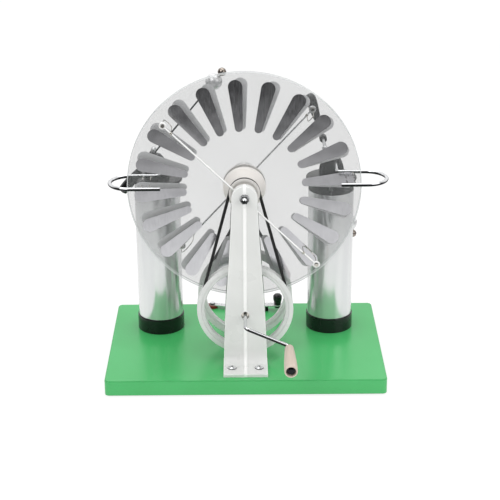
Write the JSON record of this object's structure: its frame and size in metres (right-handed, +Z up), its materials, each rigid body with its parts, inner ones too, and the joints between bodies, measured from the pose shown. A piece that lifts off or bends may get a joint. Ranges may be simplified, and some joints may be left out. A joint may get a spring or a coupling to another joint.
{
  "type": "electrostatic influence machine",
  "caption": "Hand-cranked electrostatic influence machine: sectored discs turned opposite ways by belts, with storage jars, collector forks and swivelling discharge rods on a slab base.",
  "frame": {"origin": "on the floor plane under the middle of the base, at the middle foot pad's lower face", "axes": "+Z up, -Y towards the crank, +X to the right when the crank faces the viewer"},
  "size_m": [0.2925, 0.2481, 0.321],
  "materials": {
    "green_plastic": "glossy moulded green plastic",
    "pale_plastic": "satin pale grey moulding",
    "white_plastic": "satin white moulding",
    "cream_plastic": "satin cream moulding",
    "beige_plastic": "satin beige moulding",
    "black_plastic": "glossy black plastic",
    "red_plastic": "dark red insulating plastic",
    "clear_acrylic": "clear polished acrylic sheet and tube",
    "dark_foil": "aluminium foil that mirrors a dim room",
    "silver_foil": "bright smooth foil",
    "chrome": "bright plated rod and screws",
    "steel": "plain drawn steel",
    "dark_metal": "dark polished metal ball",
    "brass": "turned brass and fine brass wire",
    "belt_rubber": "black round rubber belt"
  },
  "bodies": {
    "base": {"base": "green_plastic", "base_feet": "green_plastic", "front_upright": "pale_plastic", "rear_upright": "pale_plastic", "upright_screws": "chrome", "spindle": "steel", "spindle_nuts": "chrome", "spindle_washers": "steel", "disc_spacer": "cream_plastic", "crank_bushes": "brass", "front_belt": "belt_rubber", "rear_belt": "belt_rubber", "left_jar_foot": "black_plastic", "right_jar_foot": "black_plastic", "left_jar_tube": "clear_acrylic", "right_jar_tube": "clear_acrylic", "left_jar_foil": "silver_foil", "right_jar_foil": "silver_foil", "jar_linings": "silver_foil", "left_jar_cap": "black_plastic", "right_jar_cap": "black_plastic", "left_terminal": "black_plastic", "right_terminal": "black_plastic", "contact_rods": "steel", "left_fork": "chrome", "right_fork": "chrome", "collector_points": "brass", "clamp_pins": "steel", "switch_insulator": "red_plastic", "switch_contacts": "chrome", "switch_strip": "steel"},
    "crank": {"crank_rod": "chrome", "front_wheel": "white_plastic", "rear_wheel": "white_plastic", "wheel_screws": "steel", "grip_nut": "chrome"},
    "grip": {"crank_grip": "beige_plastic"},
    "front_disc": {"front_disc": "clear_acrylic", "front_sectors": "dark_foil", "front_hub": "cream_plastic"},
    "rear_disc": {"rear_disc": "clear_acrylic", "rear_sectors": "dark_foil", "rear_hub": "cream_plastic"},
    "front_neutraliser": {"front_collar": "black_plastic", "front_neutraliser": "steel", "front_brushes": "brass"},
    "rear_neutraliser": {"rear_collar": "black_plastic", "rear_neutraliser": "steel", "rear_brushes": "brass"},
    "left_clamp": {"left_clamp": "black_plastic"},
    "left_rod": {"left_discharge_rod": "chrome", "left_discharge_ball": "dark_metal", "left_discharge_handle": "black_plastic"},
    "right_clamp": {"right_clamp": "black_plastic"},
    "right_rod": {"right_discharge_rod": "chrome", "right_discharge_ball": "dark_metal", "right_discharge_handle": "black_plastic"},
    "switch": {"switch_blade": "steel", "switch_knob": "black_plastic"}
  },
  "joints": [
    {"name": "crank_turn", "type": "hinge", "parent": "base", "child": "crank", "pos_m": [0, -0.02, 0.0735], "axis": [0, 1, 0], "continuous": true},
    {"name": "grip_spin", "type": "hinge", "parent": "crank", "child": "grip", "pos_m": [0.04424, -0.12, 0.05362], "axis": [0, 1, 0], "continuous": true},
    {"name": "front_disc_turn", "type": "hinge", "parent": "base", "child": "front_disc", "pos_m": [0, -0.02, 0.201], "axis": [0, 1, 0], "continuous": true},
    {"name": "rear_disc_turn", "type": "hinge", "parent": "base", "child": "rear_disc", "pos_m": [0, -0.02, 0.201], "axis": [0, 1, 0], "continuous": true},
    {"name": "front_neutraliser_turn", "type": "hinge", "parent": "base", "child": "front_neutraliser", "pos_m": [0, -0.05, 0.201], "axis": [0, 1, 0], "range_deg": [-20, 12]},
    {"name": "rear_neutraliser_turn", "type": "hinge", "parent": "base", "child": "rear_neutraliser", "pos_m": [0, 0.01, 0.201], "axis": [0, 1, 0], "range_deg": [-12, 20]},
    {"name": "left_clamp_turn", "type": "hinge", "parent": "base", "child": "left_clamp", "pos_m": [-0.0955, 0.0215, 0.222], "axis": [0, 1, 0], "range_deg": [0, 44]},
    {"name": "left_rod_slide", "type": "slide", "parent": "left_clamp", "child": "left_rod", "axis": [0.6401, 0, 0.7683], "range_m": [-0.06, 0.004]},
    {"name": "right_clamp_turn", "type": "hinge", "parent": "base", "child": "right_clamp", "pos_m": [0.0858, 0.0765, 0.222], "axis": [0, 1, 0], "range_deg": [-20, 150]},
    {"name": "right_rod_slide", "type": "slide", "parent": "right_clamp", "child": "right_rod", "axis": [0.2957, 0, -0.9553], "range_m": [-0.05, 0.003]},
    {"name": "switch_turn", "type": "hinge", "parent": "base", "child": "switch", "pos_m": [-0.002, 0.0785, 0.0235], "axis": [0, 0, 1], "range_deg": [-25, 60]}
  ],
  "couplings": [
    {"joint": "front_disc_turn", "follows": "crank_turn", "ratio": 3.25},
    {"joint": "rear_disc_turn", "follows": "crank_turn", "ratio": -3.25}
  ]
}
